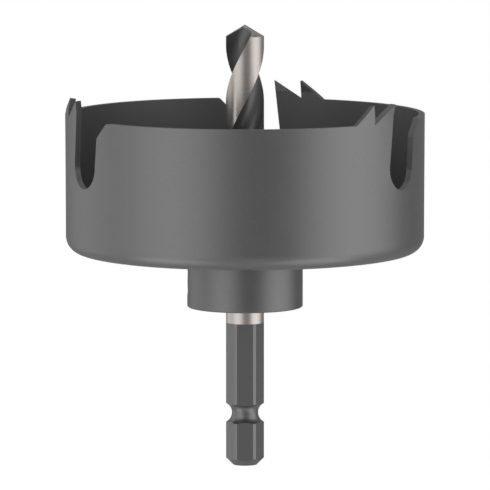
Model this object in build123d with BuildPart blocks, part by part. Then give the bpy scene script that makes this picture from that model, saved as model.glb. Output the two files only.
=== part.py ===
"""Hole saw with a hex quick-change shank: a toothed cup, its hub, a twist drill and a grub screw.

The axis of rotation is Z. The origin is the centre of the shank's free end, and the teeth and the
drill point face +Z. Azimuths are counted from the front, -Y, towards +X, which is also the way the
saw turns. All lengths are in millimetres and all angles in degrees.
"""

import os
from math import asin, cos, degrees, radians, sin, tan

from build123d import *

# Lengths along the axis, from the shank's free end upwards
hex_length = 26.4
neck_length = 2.95
hub_length = 10.15
cup_depth = 25.55
drill_projection = 16.3

# Drawn steel cup
cup_diameter = 66.0
wall = 1.1
base_thickness = 1.5
bottom_radius = 3.05
wall_draft = 0.18

# Teeth: three groups, each a leading tooth bent outwards and a trailing tooth bent inwards
group_azimuths = (54.05, 169.6, -68.1)
leading_height = 3.43
trailing_height = 3.53
tooth_pitch = 5.4
trailing_run = 4.85
face_rake = 6.3
trailing_rake = 3.0
notch_depth = 0.1
set_angle = 8.0
bend_height = 1.38

# Gullet ahead of each leading tooth
gullet_width = 8.2
gullet_depth = 12.45
gullet_lip = 2.85
gullet_lip_radius = 0.8

# Turned hub, fixed in the cup's base by a spigot
hub_diameter = 21.28
hub_chamfer = 0.2
spigot_diameter = 15.0
spigot_rise = 0.8
spigot_chamfer = 0.4
seat_clearance = 0.05
bore_clearance = 0.04

# Twist drill
drill_diameter = 7.0
point_angle = 118.0
helix_pitch = 41.3
land_angle = 89.5
web_thickness = 1.1
flute_lead_azimuth = 104.8
heel_belly_radius = 0.57
heel_belly_angle = 8.5
flute_gap = 1.2
flute_run_out = 7.0
flute_wheel = 14.0

# Hex shank and its ball groove
hex_across_flats = 6.35
groove_radius = 2.0
groove_neck = 4.84
groove_from_end = 9.68
end_chamfer = 1.3

# Grub screw and the flat it bears on
screw_diameter = 5.0
screw_recess = 0.15
screw_azimuth = -92.5
screw_from_cup = 5.4
screw_countersink = 5.6
screw_point_chamfer = 0.6
screw_end_chamfer = 0.5
socket_across_flats = 2.5
socket_depth = 2.6
thread_clearance = 0.03
flat_depth = 0.4
flat_margin = 0.5

# Heights of the main faces
hub_bottom = hex_length + neck_length
cup_back = hub_bottom + hub_length
base_top = cup_back + base_thickness
rim_height = cup_back + cup_depth
drill_tip = rim_height + drill_projection

cup_radius = cup_diameter / 2
drill_radius = drill_diameter / 2
hub_radius = hub_diameter / 2


def polar(radius, angle):
    """Point of a sketch at a radius and an angle from its x axis."""
    return (radius * cos(radians(angle)), radius * sin(radians(angle)))


def facing_plane(azimuth, height=0.0):
    """Plane through the axis that looks straight out at an azimuth: x runs the way the saw turns."""
    return Plane((0, 0, height), x_dir=polar(1, azimuth), z_dir=polar(1, azimuth - 90))


def axial_plane(azimuth, height=0.0):
    """Plane that holds the axis and points at an azimuth: x runs outwards from the axis."""
    return facing_plane(azimuth - 90, height)


def arc_angle(length):
    """Angle that a length along the cup's outside covers."""
    return degrees(length / cup_radius)


def wall_plane(lead, middle):
    """Plane square to the cup's wall at a length round from a leading face, with x = 0 on that face."""
    return facing_plane(lead + arc_angle(middle), rim_height).move(Location((-middle, 0, 0)))


def set_plane(middle, angle):
    """Wall plane turned about the bend line in the middle of the wall, to lie along a set tooth."""
    bend_line = wall_plane(0, middle).offset(cup_radius - wall / 2).move(Location((0, bend_height, 0)))
    return bend_line.rotated((angle, 0, 0)).move(Location((0, -bend_height, 0)))


def bent_wall(top, angle):
    """Section of the wall from the rim to a top, bent at the bend height, outwards if positive."""
    inner = cup_radius - wall
    mitre = wall / 2 * tan(radians(angle / 2))
    lean = tan(radians(angle))
    return (
        (inner, 0),
        (inner, bend_height + mitre),
        (inner + (top - bend_height - mitre) * lean, top),
        (cup_radius + (top - bend_height + mitre) * lean, top),
        (cup_radius, bend_height - mitre),
        (cup_radius, 0),
    )


# Gullet cutter, with its leading side at azimuth 0, its round floor and its sloping far lip
above_teeth = trailing_height + wall
rake = tan(radians(face_rake))
gullet_radius = gullet_width / 2
gullet_half = gullet_radius / cos(radians(face_rake))
floor_drop = gullet_depth - gullet_radius
floor_x = gullet_half - floor_drop * rake
side_x, side_y = polar(gullet_radius, face_rake)
floor_start = (floor_x - side_x, side_y - floor_drop)
floor_end = (floor_x + side_x, -side_y - floor_drop)
lip_x = 2 * gullet_half - gullet_lip * rake

with BuildPart() as gullet:
    with BuildSketch(wall_plane(0, gullet_half)):
        with BuildLine():
            lead_side = Line((above_teeth * rake, above_teeth), floor_start)
            floor = TangentArc(lead_side @ 1, floor_end, tangent=lead_side % 1)
            lip = FilletPolyline(
                floor @ 1,
                (lip_x, -gullet_lip),
                (lip_x + gullet_lip, 0),
                (lip_x + 2 * gullet_lip, 0),
                radius=gullet_lip_radius,
            )
            Polyline(lip @ 1, (lip_x + 2 * gullet_lip, above_teeth), lead_side @ 0)
        make_face()
    extrude(amount=cup_radius + wall)

# Teeth of one group, from the rim upwards, each outline laid along its own bent wall
leading_tip = leading_height * rake
trailing_tip = leading_tip - tooth_pitch
notch = trailing_tip - (trailing_height + notch_depth) * tan(radians(trailing_rake))
trailing_slope = trailing_run / trailing_height
trailing_tail = trailing_tip - (trailing_height + wall) * trailing_slope
leading_outline = (
    (notch, -notch_depth),
    (leading_tip, leading_height),
    (leading_tip + wall, leading_height),
    (leading_tip + wall, -notch_depth),
)
trailing_outline = (
    (trailing_tail, -wall),
    (trailing_tip, trailing_height),
    (notch, -notch_depth),
    (notch, -wall),
)


def set_tooth(tip, height, angle, outline):
    """Tooth with its tip at a length along the rim, bent by its set angle and cut to its outline."""
    start = outline[0][0] - wall
    end = outline[-1][0] + wall
    with BuildPart() as tooth:
        with BuildSketch(axial_plane(arc_angle(start), rim_height)):
            with BuildLine():
                Polyline(*bent_wall(height + wall, angle), close=True)
            make_face()
        revolve(revolution_arc=arc_angle(end - start))
        with BuildSketch(set_plane(tip, angle)):
            with BuildLine():
                Polyline(*outline, close=True)
            make_face()
        extrude(amount=2 * wall, both=True, mode=Mode.INTERSECT)
    return tooth.part


leading_tooth = set_tooth(leading_tip, leading_height, set_angle, leading_outline)
trailing_tooth = set_tooth(trailing_tip, trailing_height, -set_angle, trailing_outline)

# Cup: one drawn sheet, with its gullets and set teeth
foot_radius = cup_radius - cup_depth * tan(radians(wall_draft))
spigot_hole_radius = (spigot_diameter + seat_clearance) / 2

with BuildPart() as saw_cup:
    with BuildSketch(Plane.XZ) as cup_section:
        with BuildLine():
            Polyline(
                (spigot_hole_radius, cup_back),
                (foot_radius, cup_back),
                (cup_radius, rim_height),
                (cup_radius - wall, rim_height),
                (foot_radius - wall, base_top),
                (spigot_hole_radius, base_top),
                close=True,
            )
        make_face()
        fillet(cup_section.vertices().group_by(Axis.Y)[0].sort_by(Axis.X)[-1], bottom_radius)
        fillet(cup_section.vertices().group_by(Axis.Y)[1].sort_by(Axis.X)[-1], bottom_radius - wall)
    revolve()
    for lead in group_azimuths:
        add([leading_tooth, trailing_tooth], rotation=(0, 0, lead))
        add(gullet.part, rotation=(0, 0, lead), mode=Mode.SUBTRACT)
saw_cup.part.label = "saw_cup"

# Hub: turned collar with a spigot through the cup's base and a tapped side hole
hub_bore_radius = drill_radius + bore_clearance
screw_height = cup_back - screw_from_cup

with BuildPart() as hub:
    with BuildSketch(Plane.XZ) as hub_section:
        with BuildLine():
            Polyline(
                (hub_bore_radius, hub_bottom),
                (hub_radius, hub_bottom),
                (hub_radius, cup_back),
                (spigot_diameter / 2, cup_back),
                (spigot_diameter / 2, base_top + spigot_rise),
                (hub_bore_radius, base_top + spigot_rise),
                close=True,
            )
        make_face()
        chamfer(hub_section.vertices().group_by(Axis.Y)[0].sort_by(Axis.X)[-1], hub_chamfer)
        chamfer(hub_section.vertices().group_by(Axis.Y)[-1].sort_by(Axis.X)[-1], spigot_chamfer)
    revolve()
    with Locations(facing_plane(screw_azimuth, screw_height).offset(hub_radius)):
        Hole(screw_diameter / 2 + thread_clearance, depth=hub_radius)
    # Countersink of 90 degrees, drilled from outside the hub with a cone twice the finished size
    with Locations(facing_plane(screw_azimuth, screw_height).offset(hub_radius - screw_countersink / 2)):
        Cone(
            bottom_radius=0,
            top_radius=screw_countersink,
            height=screw_countersink,
            align=(Align.CENTER, Align.CENTER, Align.MIN),
            mode=Mode.SUBTRACT,
        )
hub.part.label = "hub"

# Twist drill, with its round body, bright neck and hex shank in one bar
shoulder_height = drill_tip - drill_radius / tan(radians(point_angle / 2))
flute_end = base_top + spigot_rise + flute_gap
run_out_top = flute_end + flute_run_out
twist_per_mm = 360 / helix_pitch
web_radius = web_thickness / 2
outside = drill_radius * 1.3


def rake_point(radius):
    """Point of the flute's leading wall, curved so that the ground cutting lip comes out straight."""
    lip_lead = degrees(asin(web_radius / radius) - asin(web_radius / drill_radius))
    climb = (drill_radius - radius) / tan(radians(point_angle / 2))
    return polar(radius, lip_lead - climb * twist_per_mm)


with BuildSketch() as flute:
    flute_arc = 180 - land_angle
    with BuildLine():
        rake_wall = Spline(*[rake_point(web_radius + (drill_radius - web_radius) * step / 4)
                             for step in (4, 3, 2, 1)])
        heel_wall = ThreePointArc(
            rake_wall @ 1,
            polar(drill_radius * heel_belly_radius, flute_arc + heel_belly_angle),
            polar(drill_radius, flute_arc),
        )
        Polyline(
            heel_wall @ 1,
            polar(outside, flute_arc),
            polar(outside, flute_arc / 2),
            polar(outside, 0),
            rake_wall @ 0,
        )
    make_face()

with BuildSketch(Plane.XY.offset(flute_end)) as fluted_section:
    Circle(drill_radius)
    start_angle = flute_lead_azimuth - 90 - (shoulder_height - flute_end) * twist_per_mm
    with PolarLocations(0, 2, start_angle=start_angle):
        add(flute.sketch, mode=Mode.SUBTRACT)

fluted_length = drill_tip - flute_end
twisted_body = Solid.extrude_linear_with_rotation(
    fluted_section.sketch.face(),
    center=(0, 0, flute_end),
    normal=(0, 0, fluted_length),
    angle=fluted_length * twist_per_mm,
)

with BuildPart() as pilot_drill:
    add(twisted_body)
    with BuildSketch(Plane.XZ):
        with BuildLine():
            Polyline(
                (0, flute_end),
                (outside, flute_end),
                (outside, drill_tip - outside / tan(radians(point_angle / 2))),
                (0, drill_tip),
                close=True,
            )
        make_face()
    revolve(mode=Mode.INTERSECT)
    # Round body up to the flutes, which run out on a grinding wheel's curve
    with BuildSketch(Plane.XZ):
        with BuildLine():
            run_out = RadiusArc((web_radius, run_out_top), (drill_radius, flute_end), flute_wheel)
            Polyline(
                run_out @ 1,
                (drill_radius, hex_length),
                (0, hex_length),
                (0, run_out_top),
                run_out @ 0,
            )
        make_face()
    revolve()
    # Hex shank with turned corners
    with BuildSketch():
        RegularPolygon(radius=hex_across_flats / 2, side_count=6, major_radius=False)
        Circle(drill_radius, mode=Mode.INTERSECT)
    extrude(amount=hex_length)
    with BuildSketch(Plane.XZ):
        with Locations((groove_neck / 2 + groove_radius, groove_from_end)):
            Circle(groove_radius)
        with BuildLine():
            Polyline(
                (drill_radius - end_chamfer, 0),
                (outside, 0),
                (outside, end_chamfer + outside - drill_radius),
                close=True,
            )
        make_face()
    revolve(mode=Mode.SUBTRACT)
    # Flat under the grub screw
    with BuildSketch(facing_plane(screw_azimuth, screw_height).offset(drill_radius)):
        Rectangle(drill_diameter, screw_diameter + 2 * flat_margin)
    extrude(amount=-flat_depth, mode=Mode.SUBTRACT)
pilot_drill.part.label = "pilot_drill"

# Grub screw: plain outside for a fine thread, flat point, hex socket, its end just inside the hub
screw_seat = drill_radius - flat_depth
screw_length = hub_radius - screw_recess - screw_seat

with BuildPart() as set_screw:
    with BuildSketch(facing_plane(screw_azimuth, screw_height).offset(screw_seat)):
        Circle(screw_diameter / 2)
    extrude(amount=screw_length)
    outwards = Axis((0, 0, 0), facing_plane(screw_azimuth).z_dir)
    chamfer(set_screw.faces().sort_by(outwards)[0].edges(), screw_point_chamfer)
    chamfer(set_screw.faces().sort_by(outwards)[-1].edges(), screw_end_chamfer)
    with BuildSketch(facing_plane(screw_azimuth, screw_height).offset(screw_seat + screw_length)):
        RegularPolygon(radius=socket_across_flats / 2, side_count=6, major_radius=False)
    extrude(amount=-socket_depth, mode=Mode.SUBTRACT)
set_screw.part.label = "set_screw"

os.makedirs("parts", exist_ok=True)
export_step(saw_cup.part, "parts/saw_cup.step")
export_step(hub.part, "parts/hub.step")
export_step(pilot_drill.part, "parts/pilot_drill.step")
export_step(set_screw.part, "parts/set_screw.step")
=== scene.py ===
"""Studio scene of a hole saw with set teeth, a hub, a twist pilot drill and a hex shank.

The model stands upright on its axis, Z, with the origin at the centre of the shank's free end. The
front, -Y, faces the camera. Lengths in this file are in metres unless a name says millimetres.
"""

import logging
import math
from abc import ABC, abstractmethod
from dataclasses import dataclass, field
from enum import Enum
from typing import Any

import bpy
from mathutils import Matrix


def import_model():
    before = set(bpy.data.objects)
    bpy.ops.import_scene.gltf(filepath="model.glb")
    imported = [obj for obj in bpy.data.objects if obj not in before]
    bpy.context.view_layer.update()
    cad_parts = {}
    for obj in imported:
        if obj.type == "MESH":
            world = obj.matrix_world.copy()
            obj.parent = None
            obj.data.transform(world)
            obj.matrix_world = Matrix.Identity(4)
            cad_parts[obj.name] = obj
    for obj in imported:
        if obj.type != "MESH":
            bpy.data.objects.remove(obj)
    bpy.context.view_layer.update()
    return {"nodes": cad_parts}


MM = 0.001
# Nearly all values of a noise texture lie between these two.
NOISE_LOW, NOISE_HIGH = 0.3, 0.7
log = logging.getLogger("hole_saw")


class Marks(Enum):
    """Which way the marks of shaping run, as how fine a pattern is along X, Y and Z."""

    DRAWN = (1.0, 1.0, 0.03)
    TURNED = (0.03, 0.03, 1.0)


def linear_colour(code: str) -> tuple[float, float, float, float]:
    """Turn an sRGB hex colour into linear light.

    Args:
        code: colour such as "#6b6c6e".

    Returns:
        Red, green, blue and an alpha of 1.
    """
    values = [int(code[i:i + 2], 16) / 255 for i in (1, 3, 5)]
    light = [v / 12.92 if v <= 0.04045 else ((v + 0.055) / 1.055) ** 2.4 for v in values]
    return (light[0], light[1], light[2], 1.0)


def add_node(tree: bpy.types.NodeTree, kind: str, settings: dict[str, Any] | None = None,
             **inputs: Any) -> bpy.types.Node:
    """Add a node, set its properties, and set or link its inputs.

    Args:
        tree: node tree that takes the node.
        kind: Blender's name for the node type.
        settings: properties of the node by name.
        **inputs: input sockets by name, with "_" for a space and iN for input number N; a value
            that is a socket is linked, any other is set.

    Returns:
        The new node.
    """
    node = tree.nodes.new(kind)
    for name, value in (settings or {}).items():
        setattr(node, name, value)
    for name, value in inputs.items():
        numbered = name[0] == "i" and name[1:].isdigit()
        socket = node.inputs[int(name[1:])] if numbered else node.inputs[name.replace("_", " ")]
        if isinstance(value, bpy.types.NodeSocket):
            tree.links.new(value, socket)
        else:
            socket.default_value = value
    return node


def new_material(name: str) -> tuple[bpy.types.Material, bpy.types.NodeTree]:
    """Make an empty node material.

    Args:
        name: the material's name.

    Returns:
        The material and its node tree, with no nodes in it.
    """
    material = bpy.data.materials.new(name)
    material.use_nodes = True
    material.node_tree.nodes.clear()
    return material, material.node_tree


def from_axis(tree: bpy.types.NodeTree, place: bpy.types.NodeSocket) -> bpy.types.NodeSocket:
    """Work out the vector from the Z axis to each point.

    Args:
        tree: the material's node tree.
        place: object coordinates.

    Returns:
        Socket with the vector, square to the axis.
    """
    parts = add_node(tree, "ShaderNodeSeparateXYZ", Vector=place)
    return add_node(tree, "ShaderNodeCombineXYZ", X=parts.outputs[0], Y=parts.outputs[1],
                    Z=0.0).outputs[0]


def painted_fill_faces(tree: bpy.types.NodeTree, place: bpy.types.NodeSocket,
                  reach: float = math.radians(60)) -> bpy.types.NodeSocket:
    """Find the faces that take the painted fill light: the inside and the cut edges of a drawn cup,
    which look neither outwards nor down.

    Args:
        tree: the material's node tree.
        place: object coordinates.
        reach: how far off outwards or down a face may look and still be outside.

    Returns:
        Socket that is 1 on the inside and the cut edges and 0 on the outside.
    """
    normal = add_node(tree, "ShaderNodeTexCoord").outputs["Normal"]
    outwards = add_node(tree, "ShaderNodeVectorMath", {"operation": "NORMALIZE"},
                        i0=from_axis(tree, place))
    radial = add_node(tree, "ShaderNodeVectorMath", {"operation": "DOT_PRODUCT"}, i0=normal,
                      i1=outwards.outputs[0]).outputs[1]
    upward = add_node(tree, "ShaderNodeSeparateXYZ", Vector=normal).outputs[2]
    downward = add_node(tree, "ShaderNodeMath", {"operation": "MULTIPLY"}, i0=upward, i1=-1.0)
    outer = add_node(tree, "ShaderNodeMath", {"operation": "MAXIMUM"}, i0=radial,
                     i1=downward.outputs[0])
    return add_node(tree, "ShaderNodeMath", {"operation": "LESS_THAN"}, i0=outer.outputs[0],
                    i1=math.cos(reach)).outputs[0]


@dataclass(frozen=True)
class Tone:
    """What one zone of a surface gives the eye: its colour, how far it is bare metal, its roughness."""

    colour: str
    metallic: float
    roughness: float


@dataclass(frozen=True)
class PhosphateCoat:
    """Black manganese phosphate on steel, oiled.

    The fine crystals hold the oil, so the steel reads as a satin dark grey that still reflects much as
    a metal does and scatters a little light of its own. It is a little uneven from place to place, and
    the marks of drawing or turning show through it.
    """

    name: str
    marks: Marks
    colour: str = "#808080"
    metallic: float = 0.84
    roughness: float = 0.36
    # Clouds where the bath took unevenly, a few millimetres across.
    cloud_mm: float = 2.6
    cloud_tone: float = 0.012
    cloud_gloss: float = 0.012
    # Crystals are some hundredths of a millimetre: drawn at about a pixel of the render to show.
    grain_mm: float = 0.28
    grain_tone: float = 0.03
    grain_height_mm: float = 0.0015
    # Draw and feed marks are about 0.1 mm apart: drawn coarser for the same reason.
    mark_mm: float = 0.4
    mark_height_mm: float = 0.0015
    # Faces that look neither outwards nor down, the inside of the cup and its cut edges, get a duller
    # coat that scatters more light and mirrors less: painted fill light in the shade inside the cup and
    # on the cut edges.
    painted_fill_coat: Tone | None = None

    def zones(self, tree: bpy.types.NodeTree, place: bpy.types.NodeSocket,
              gloss: bpy.types.NodeSocket) -> tuple[Any, Any, Any]:
        """Part the surface into the smooth coat and, where there is one, the duller coat of painted fill
        light.

        Args:
            tree: the material's node tree.
            place: object coordinates.
            gloss: roughness of the smooth coat.

        Returns:
            Colour, metallic and roughness, each a value or a socket.
        """
        if self.painted_fill_coat is None:
            return linear_colour(self.colour), self.metallic, gloss
        # Painted fill light: faces that look inwards or up take a duller coat that scatters more, which
        # lifts the shade inside the cup and on the cut edges.
        painted_fill_mask = painted_fill_faces(tree, place)
        colour = add_node(tree, "ShaderNodeMix", {"data_type": "RGBA"}, i0=painted_fill_mask,
                          i6=linear_colour(self.colour), i7=linear_colour(self.painted_fill_coat.colour))
        metal = add_node(tree, "ShaderNodeMix", i0=painted_fill_mask, i2=self.metallic,
                         i3=self.painted_fill_coat.metallic)
        rough = add_node(tree, "ShaderNodeMix", i0=painted_fill_mask, i2=gloss, i3=self.painted_fill_coat.roughness)
        return colour.outputs[2], metal.outputs[0], rough.outputs[0]

    def build(self) -> bpy.types.Material:
        """Make the material."""
        material, tree = new_material(self.name)
        place = add_node(tree, "ShaderNodeTexCoord").outputs["Object"]
        cloud = add_node(tree, "ShaderNodeTexNoise", Vector=place, Scale=1 / (self.cloud_mm * MM),
                         Detail=3.0, Roughness=0.6).outputs[0]
        grain = add_node(tree, "ShaderNodeTexNoise", Vector=place, Scale=1 / (self.grain_mm * MM),
                         Detail=2.0).outputs[0]
        clouded = add_node(tree, "ShaderNodeMapRange", i0=cloud, i1=NOISE_LOW, i2=NOISE_HIGH,
                           i3=1 - self.cloud_tone, i4=1 + self.cloud_tone).outputs[0]
        grained = add_node(tree, "ShaderNodeMapRange", i0=grain, i1=NOISE_LOW, i2=NOISE_HIGH,
                           i3=1 - self.grain_tone, i4=1 + self.grain_tone).outputs[0]
        tone = add_node(tree, "ShaderNodeMath", {"operation": "MULTIPLY"}, i0=clouded, i1=grained)
        gloss = add_node(tree, "ShaderNodeMapRange", i0=cloud, i1=NOISE_LOW, i2=NOISE_HIGH,
                         i3=self.roughness - self.cloud_gloss, i4=self.roughness + self.cloud_gloss)
        base, metal, rough = self.zones(tree, place, gloss.outputs[0])
        colour = add_node(tree, "ShaderNodeMix", {"data_type": "RGBA", "blend_type": "MULTIPLY"}, i0=1.0,
                          i6=base, i7=tone.outputs[0])
        crystals = add_node(tree, "ShaderNodeBump", Height=grain, Distance=self.grain_height_mm * MM)
        along = add_node(tree, "ShaderNodeVectorMath", {"operation": "MULTIPLY"}, i0=place,
                         i1=self.marks.value)
        lines = add_node(tree, "ShaderNodeTexNoise", Vector=along.outputs[0],
                         Scale=1 / (self.mark_mm * MM), Detail=2.0)
        relief = add_node(tree, "ShaderNodeBump", Height=lines.outputs[0],
                          Distance=self.mark_height_mm * MM, Normal=crystals.outputs[0])
        shader = add_node(tree, "ShaderNodeBsdfPrincipled", Base_Color=colour.outputs[2],
                          Metallic=metal, Roughness=rough, Normal=relief.outputs[0])
        add_node(tree, "ShaderNodeOutputMaterial", Surface=shader.outputs[0])
        return material


@dataclass(frozen=True)
class DrillSteel:
    """High-speed steel, ground: bright and faintly warm where the wheel finished it last.

    The flutes keep the black oxide of steam tempering, which is duller and scatters light, and the
    hex has the same coat as the hub.
    """

    name: str = "ground_high_speed_steel"
    bright: Tone = Tone("#cbc3be", 1.0, 0.26)
    # The plain body below the flutes is turned, not ground, and reads a little brighter.
    turned_colour: str = "#d3cbc5"
    oxide: Tone = Tone("#757575", 0.6, 0.42)
    coat: Tone = Tone("#808080", 0.92, 0.34)
    # Wheel marks are some hundredths of a millimetre apart: drawn coarser, to show in the render.
    wheel_mm: float = 0.3
    wheel_height_mm: float = 0.0008

    def lines(self, tree: bpy.types.NodeTree, place: bpy.types.NodeSocket, pitch: float
              ) -> tuple[bpy.types.NodeSocket, bpy.types.NodeSocket]:
        """Draw the wheel marks.

        The rings vary along Z alone. The marks in the flutes follow the helix: turning each point
        back about Z by its share of the pitch gives the same X and Y all along one flute.

        Args:
            tree: the material's node tree.
            place: object coordinates.
            pitch: rise of the flutes in one turn.

        Returns:
            Heights of the rings and of the marks along the flutes.
        """
        rings = add_node(tree, "ShaderNodeVectorMath", {"operation": "MULTIPLY"}, i0=place,
                         i1=Marks.TURNED.value)
        height = add_node(tree, "ShaderNodeSeparateXYZ", Vector=place).outputs[2]
        turn = add_node(tree, "ShaderNodeMath", {"operation": "MULTIPLY"}, i0=height,
                        i1=-2 * math.pi / pitch)
        unwound = add_node(tree, "ShaderNodeVectorRotate", {"rotation_type": "Z_AXIS"}, Vector=place,
                           Angle=turn.outputs[0])
        along = add_node(tree, "ShaderNodeVectorMath", {"operation": "MULTIPLY"}, i0=unwound.outputs[0],
                         i1=Marks.DRAWN.value)
        scale = 1 / (self.wheel_mm * MM)
        ringed = add_node(tree, "ShaderNodeTexNoise", Vector=rings.outputs[0], Scale=scale, Detail=1.0)
        fluted = add_node(tree, "ShaderNodeTexNoise", Vector=along.outputs[0], Scale=scale, Detail=1.0)
        return ringed.outputs[0], fluted.outputs[0]

    def build(self, drill: "PilotDrill") -> bpy.types.Material:
        """Make the material, with each zone where the drill's sizes put it.

        Args:
            drill: the drill whose sizes part the zones.
        """
        material, tree = new_material(self.name)
        place = add_node(tree, "ShaderNodeTexCoord").outputs["Object"]
        bare, plain, coated = drill.zones(tree, place)
        rings, flutes = self.lines(tree, place, drill.helix_pitch)
        clean = add_node(tree, "ShaderNodeMix", {"data_type": "RGBA"}, i0=plain,
                         i6=linear_colour(self.bright.colour), i7=linear_colour(self.turned_colour))
        upper = add_node(tree, "ShaderNodeMix", {"data_type": "RGBA"}, i0=bare,
                         i6=linear_colour(self.oxide.colour), i7=clean.outputs[2])
        colour = add_node(tree, "ShaderNodeMix", {"data_type": "RGBA"}, i0=coated,
                          i6=upper.outputs[2], i7=linear_colour(self.coat.colour))
        upper_metal = add_node(tree, "ShaderNodeMapRange", i0=bare, i3=self.oxide.metallic,
                               i4=self.bright.metallic)
        metal = add_node(tree, "ShaderNodeMix", i0=coated, i2=upper_metal.outputs[0],
                         i3=self.coat.metallic)
        upper_gloss = add_node(tree, "ShaderNodeMapRange", i0=bare, i3=self.oxide.roughness,
                               i4=self.bright.roughness)
        gloss = add_node(tree, "ShaderNodeMix", i0=coated, i2=upper_gloss.outputs[0],
                         i3=self.coat.roughness)
        marks = add_node(tree, "ShaderNodeMix", i0=bare, i2=flutes, i3=rings)
        relief = add_node(tree, "ShaderNodeBump", Height=marks.outputs[0],
                          Distance=self.wheel_height_mm * MM)
        shader = add_node(tree, "ShaderNodeBsdfPrincipled", Base_Color=colour.outputs[2],
                          Metallic=metal.outputs[0], Roughness=gloss.outputs[0],
                          Normal=relief.outputs[0])
        add_node(tree, "ShaderNodeOutputMaterial", Surface=shader.outputs[0])
        return material


@dataclass
class Piece(ABC):
    """One piece of the saw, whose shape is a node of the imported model."""

    node: str

    @abstractmethod
    def material(self) -> bpy.types.Material:
        """Make the piece's material."""

    def dress(self, nodes: dict[str, bpy.types.Object]) -> None:
        """Give the node its material.

        Args:
            nodes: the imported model's objects by name.
        """
        material = self.material()
        nodes[self.node].data.materials[0] = material
        log.info("dressed %s in %s", self.node, material.name)


@dataclass
class CoatedPiece(Piece):
    """Piece with one coat all over."""

    finish: PhosphateCoat

    def material(self) -> bpy.types.Material:
        """Make the piece's material."""
        return self.finish.build()


@dataclass
class SawCup(CoatedPiece):
    """Cup drawn from sheet, with its gullets and set teeth."""

    node: str = "saw_cup"
    # The second tone is painted fill light, on the inside of the cup and its cut edges.
    finish: PhosphateCoat = PhosphateCoat("phosphated_drawn_steel", Marks.DRAWN,
                                          painted_fill_coat=Tone("#707070", 0.4, 0.42))


@dataclass
class Hub(CoatedPiece):
    """Collar turned from bar."""

    node: str = "hub"
    finish: PhosphateCoat = PhosphateCoat("phosphated_turned_steel", Marks.TURNED, colour="#7e7e7e")


@dataclass
class SetScrew(CoatedPiece):
    """Grub screw of heat-treated alloy steel, blacker than the coat round it."""

    node: str = "set_screw"
    finish: PhosphateCoat = PhosphateCoat("black_oxide_alloy_steel", Marks.TURNED, colour="#626264",
                                          metallic=0.85, roughness=0.3)


@dataclass
class PilotDrill(Piece):
    """Twist drill, its plain body and its hex, ground from one bar.

    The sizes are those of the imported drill, and say where each zone of the finish begins and ends.
    """

    node: str = "pilot_drill"
    finish: DrillSteel = DrillSteel()
    # Just inside the drill's own radius of 3.5 mm, so that all of each land lies beyond it.
    land_radius: float = 3.43 * MM
    helix_pitch: float = 41.3 * MM
    flute_end: float = 43.0 * MM
    point_height: float = 81.35 * MM
    point_angle: float = math.radians(118)
    hex_top: float = 26.4 * MM
    # How far the point's and the hex's zones reach past their own faces.
    edge: float = 0.02 * MM

    def zones(self, tree: bpy.types.NodeTree, place: bpy.types.NodeSocket
              ) -> tuple[bpy.types.NodeSocket, ...]:
        """Part the drill's surface into its zones.

        The lands lie beyond one radius, the point is a cone, whose height plus radius over the
        tangent of half its angle is the drill's length, and the rest goes by height.

        Args:
            tree: the material's node tree.
            place: object coordinates.

        Returns:
            Sockets that are 1 on bare steel, below the flutes and on the coated hex, and 0 elsewhere.
        """
        height = add_node(tree, "ShaderNodeSeparateXYZ", Vector=place).outputs[2]
        radius = add_node(tree, "ShaderNodeVectorMath", {"operation": "LENGTH"},
                          i0=from_axis(tree, place)).outputs[1]
        land = add_node(tree, "ShaderNodeMath", {"operation": "GREATER_THAN"}, i0=radius,
                        i1=self.land_radius)
        reach = add_node(tree, "ShaderNodeMath", {"operation": "MULTIPLY_ADD"}, i0=radius,
                         i1=1 / math.tan(self.point_angle / 2), i2=height)
        point = add_node(tree, "ShaderNodeMath", {"operation": "GREATER_THAN"}, i0=reach.outputs[0],
                         i1=self.point_height - self.edge)
        plain = add_node(tree, "ShaderNodeMath", {"operation": "LESS_THAN"}, i0=height,
                         i1=self.flute_end)
        ground = add_node(tree, "ShaderNodeMath", {"operation": "MAXIMUM"}, i0=land.outputs[0],
                          i1=point.outputs[0])
        bare = add_node(tree, "ShaderNodeMath", {"operation": "MAXIMUM"}, i0=ground.outputs[0],
                        i1=plain.outputs[0])
        coated = add_node(tree, "ShaderNodeMath", {"operation": "LESS_THAN"}, i0=height,
                          i1=self.hex_top + self.edge)
        return bare.outputs[0], plain.outputs[0], coated.outputs[0]

    def material(self) -> bpy.types.Material:
        """Make the drill's material."""
        return self.finish.build(self)


class Stance(Enum):
    """How a soft box is set up: upright on the floor, flat on it beside the saw, or hung overhead."""

    UPRIGHT = "upright"
    FLAT = "flat"
    OVERHEAD = "overhead"


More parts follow.
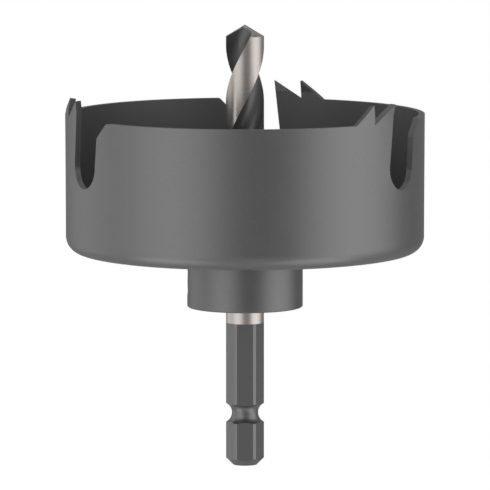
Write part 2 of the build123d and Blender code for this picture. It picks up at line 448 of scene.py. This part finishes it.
@dataclass(frozen=True)
class Softbox:
    """Soft box that faces the axis, faces up from the floor or faces down.

    The azimuth is in degrees from the front, -Y, towards +X, and the glow is the radiance of its
    middle, where 1 is white. Across its width the glow falls off to nothing as a sine squared. The
    lift is the height of a flat or hung one above the floor.
    """

    name: str
    azimuth: float
    width: float
    glow: float
    length: float = 0.42
    distance: float = 0.3
    stance: Stance = Stance.UPRIGHT
    lift: float = 1 * MM

    def set_up(self, floor: float) -> None:
        """Add the lamp.

        Args:
            floor: height of the floor.
        """
        data = bpy.data.lights.new(self.name, "AREA")
        data.shape = "RECTANGLE"
        data.size, data.size_y = self.width, self.length
        data.energy = self.glow * math.pi * self.width * self.length
        data.use_nodes = True
        tree = data.node_tree
        tree.nodes.clear()
        place = add_node(tree, "ShaderNodeNewGeometry").outputs["Parametric"]
        across = add_node(tree, "ShaderNodeSeparateXYZ", Vector=place).outputs[0]
        angle = add_node(tree, "ShaderNodeMath", {"operation": "MULTIPLY"}, i0=across, i1=math.pi)
        wave = add_node(tree, "ShaderNodeMath", {"operation": "SINE"}, i0=angle.outputs[0])
        share = add_node(tree, "ShaderNodeMath", {"operation": "POWER"}, i0=wave.outputs[0], i1=2.0)
        shine = add_node(tree, "ShaderNodeEmission", Strength=share.outputs[0])
        add_node(tree, "ShaderNodeOutputLight", Surface=shine.outputs[0])
        lamp = bpy.data.objects.new(self.name, data)
        turn = math.radians(self.azimuth)
        height, lamp.rotation_euler = {
            Stance.UPRIGHT: (self.length / 2, (math.pi / 2, 0.0, turn)),
            Stance.FLAT: (self.lift, (math.pi, 0.0, turn + math.pi / 2)),
            Stance.OVERHEAD: (self.lift, (0.0, 0.0, turn)),
        }[self.stance]
        lamp.location = (self.distance * math.sin(turn), -self.distance * math.cos(turn), floor + height)
        lamp.visible_camera = False
        bpy.context.scene.collection.objects.link(lamp)


def soft_light() -> list[Softbox]:
    """List the soft boxes: three upright round the saw, two flat on the floor and one overhead."""
    return [
        Softbox("softbox_left", -46, 0.64, 0.79),
        Softbox("softbox_far_left", -110, 0.6, 0.53),
        Softbox("softbox_right", 71, 0.74, 0.93),
        Softbox("softbox_top", 0, 0.36, 1.0, length=0.3, distance=0.0, stance=Stance.OVERHEAD,
                lift=0.52),
        Softbox("softbox_floor_left", -60, 0.3, 0.9, length=0.14, distance=0.17, stance=Stance.FLAT),
        Softbox("softbox_floor_right", 60, 0.3, 0.9, length=0.14, distance=0.17, stance=Stance.FLAT),
    ]


def seen(tree: bpy.types.NodeTree, share: float) -> bpy.types.NodeSocket:
    """Work out how far a ray sees the white background.

    Args:
        tree: node tree of the floor or the room.
        share: how far a glossy ray sees it.

    Returns:
        Socket that is 1 for camera and transmission rays and the share for glossy ones.
    """
    path = add_node(tree, "ShaderNodeLightPath")
    gloss = add_node(tree, "ShaderNodeMath", {"operation": "MULTIPLY"},
                     i0=path.outputs["Is Glossy Ray"], i1=share)
    direct = add_node(tree, "ShaderNodeMath", {"operation": "MAXIMUM"},
                      i0=path.outputs["Is Camera Ray"], i1=path.outputs["Is Transmission Ray"])
    return add_node(tree, "ShaderNodeMath", {"operation": "MAXIMUM"}, i0=direct.outputs[0],
                    i1=gloss.outputs[0]).outputs[0]


@dataclass
class Studio:
    """Pale floor, soft boxes at both sides and the camera of the photograph.

    The saw is held by its shank in the air, as a chuck holds it, so the floor lies below it. The
    camera sees floor and room as white. A glossy ray sees only the shares of that white, because
    the room round such a shot is dim and the steel mirrors it.
    """

    camera_distance: float = 1103.6 * MM
    camera_tilt: float = math.radians(6.44)
    aim_height: float = 40.72 * MM
    lens_mm: float = 440.8
    sensor_mm: float = 36.0
    clip_near: float = 0.01
    clip_far: float = 20.0
    floor_height: float = -0.12
    floor_reach: float = 3.0
    floor_colour: str = "#f0f0f0"
    # Makes the paper up to white in the photo's view, where the soft boxes give it 0.16.
    floor_glow: float = 0.84
    floor_share: float = 0.1
    room_glow: float = 0.18
    room_share: float = 0.16
    softboxes: list[Softbox] = field(default_factory=soft_light)

    def place_camera(self) -> None:
        """Put the camera where the photograph was taken from."""
        data = bpy.data.cameras.new("camera")
        data.lens = self.lens_mm
        data.sensor_width = self.sensor_mm
        data.clip_start = self.clip_near
        data.clip_end = self.clip_far
        camera = bpy.data.objects.new("camera", data)
        camera.location = (0.0, -self.camera_distance * math.cos(self.camera_tilt),
                           self.aim_height + self.camera_distance * math.sin(self.camera_tilt))
        camera.rotation_euler = (math.pi / 2 - self.camera_tilt, 0.0, 0.0)
        bpy.context.scene.collection.objects.link(camera)
        bpy.context.scene.camera = camera

    def lay_floor(self) -> None:
        """Lay the floor: pale, and pure white to the camera where no shadow falls on it."""
        reach, height = self.floor_reach, self.floor_height
        mesh = bpy.data.meshes.new("floor")
        mesh.from_pydata([(-reach, -reach, height), (reach, -reach, height), (reach, reach, height),
                          (-reach, reach, height)], [], [(0, 1, 2, 3)])
        floor = bpy.data.objects.new("floor", mesh)
        bpy.context.scene.collection.objects.link(floor)
        material, tree = new_material("pale_paper_backdrop")
        level = add_node(tree, "ShaderNodeMath", {"operation": "MULTIPLY"},
                         i0=seen(tree, self.floor_share), i1=self.floor_glow)
        paper = add_node(tree, "ShaderNodeBsdfDiffuse", Color=linear_colour(self.floor_colour))
        glow = add_node(tree, "ShaderNodeEmission", Strength=level.outputs[0])
        both = add_node(tree, "ShaderNodeAddShader", i0=paper.outputs[0], i1=glow.outputs[0])
        add_node(tree, "ShaderNodeOutputMaterial", Surface=both.outputs[0])
        mesh.materials.append(material)
        log.info("laid the floor")

    def light(self) -> None:
        """Light the room and set up the soft boxes."""
        world = bpy.data.worlds.new("studio_room")
        bpy.context.scene.world = world
        world.use_nodes = True
        tree = world.node_tree
        tree.nodes.clear()
        level = add_node(tree, "ShaderNodeMapRange", i0=seen(tree, self.room_share),
                         i3=self.room_glow, i4=1.0)
        room = add_node(tree, "ShaderNodeBackground", Color=(1, 1, 1, 1), Strength=level.outputs[0])
        add_node(tree, "ShaderNodeOutputWorld", Surface=room.outputs[0])
        for softbox in self.softboxes:
            softbox.set_up(self.floor_height)
            log.info("set up %s", softbox.name)

    def build(self) -> None:
        """Build the whole studio."""
        self.lay_floor()
        self.light()
        self.place_camera()
        bpy.context.scene.view_settings.view_transform = "Standard"


def main() -> None:
    """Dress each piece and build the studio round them."""
    logging.basicConfig(level=logging.INFO, format="%(message)s")
    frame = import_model()
    for piece in (SawCup(), Hub(), PilotDrill(), SetScrew()):
        piece.dress(frame["nodes"])
    Studio().build()


if __name__ == "__main__":
    main()
